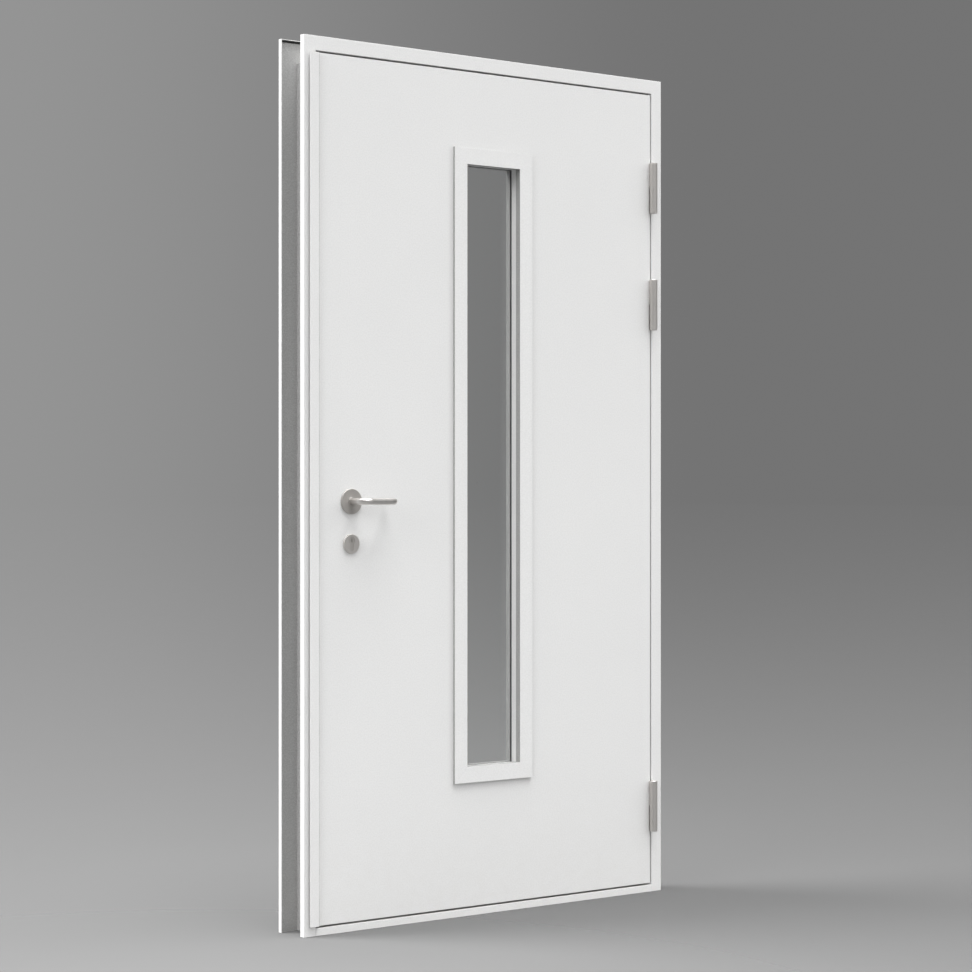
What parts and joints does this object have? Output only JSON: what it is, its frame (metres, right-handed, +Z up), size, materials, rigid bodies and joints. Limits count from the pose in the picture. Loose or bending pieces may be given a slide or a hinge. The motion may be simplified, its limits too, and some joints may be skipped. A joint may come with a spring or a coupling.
{
  "type": "fire door",
  "caption": "Single leaf flush steel fire door in a four sided steel frame, with a narrow glazed vision panel, lever handles and barrel hinges.",
  "frame": {"origin": "centre of the sill's underside, midway through the frame's depth, where the door stands on the floor", "axes": "+X along the width from the latch side to the hinge side, +Y through the door from the face the leaf opens towards to the other face, +Z up"},
  "size_m": [1.15, 0.164, 2.1],
  "materials": {
    "frame_paint": "fine matt powder coat",
    "leaf_paint": "fine matt powder coat",
    "trim_paint": "fine matt powder coat",
    "core_board": "pressed mineral board",
    "seal": "matt",
    "gasket": "matt",
    "glass": "clear fire glass",
    "hinge_steel": "satin",
    "handle_steel": "satin",
    "lock_steel": "satin"
  },
  "bodies": {
    "frame": {"frame_jamb_latch": "frame_paint", "frame_jamb_hinge": "frame_paint", "frame_head": "frame_paint", "frame_sill": "frame_paint", "strike_plate": "lock_steel", "seal_latch": "seal", "seal_hinge": "seal", "seal_head": "seal", "seal_sill": "seal", "hinge_frame_1": "hinge_steel", "hinge_frame_2": "hinge_steel", "hinge_frame_3": "hinge_steel"},
    "leaf": {"hinge_leaf_1": "hinge_steel", "hinge_leaf_2": "hinge_steel", "hinge_leaf_3": "hinge_steel", "lock_faceplate": "lock_steel", "lock_cylinder": "lock_steel", "leaf_front_tray": "leaf_paint", "leaf_back_sheet": "leaf_paint", "leaf_core_latch": "core_board", "leaf_core_hinge": "core_board", "leaf_core_top": "core_board", "leaf_core_bottom": "core_board", "latch_cover_strip": "leaf_paint", "trim_front_latch": "trim_paint", "trim_front_hinge": "trim_paint", "trim_front_top": "trim_paint", "trim_front_bottom": "trim_paint", "trim_back_latch": "trim_paint", "trim_back_hinge": "trim_paint", "trim_back_top": "trim_paint", "trim_back_bottom": "trim_paint", "gasket_front": "gasket", "gasket_back": "gasket", "glass_pane": "glass", "handle_rose_front": "handle_steel", "handle_rose_back": "handle_steel", "key_rose_front": "handle_steel", "key_rose_back": "handle_steel"},
    "lever": {"lever_front": "handle_steel", "lever_back": "handle_steel", "spindle": "lock_steel"}
  },
  "joints": [
    {"name": "leaf_swing", "type": "hinge", "parent": "frame", "child": "leaf", "pos_m": [0.5385, -0.061, 0], "axis": [0, 0, 1], "range_deg": [0, 170]},
    {"name": "lever_turn", "type": "hinge", "parent": "leaf", "child": "lever", "pos_m": [-0.438, -0.028, 1.013], "axis": [0, 1, 0], "range_deg": [0, 40], "stiffness_Nm_per_rad": 1.2, "springref_deg": -20.05}
  ]
}
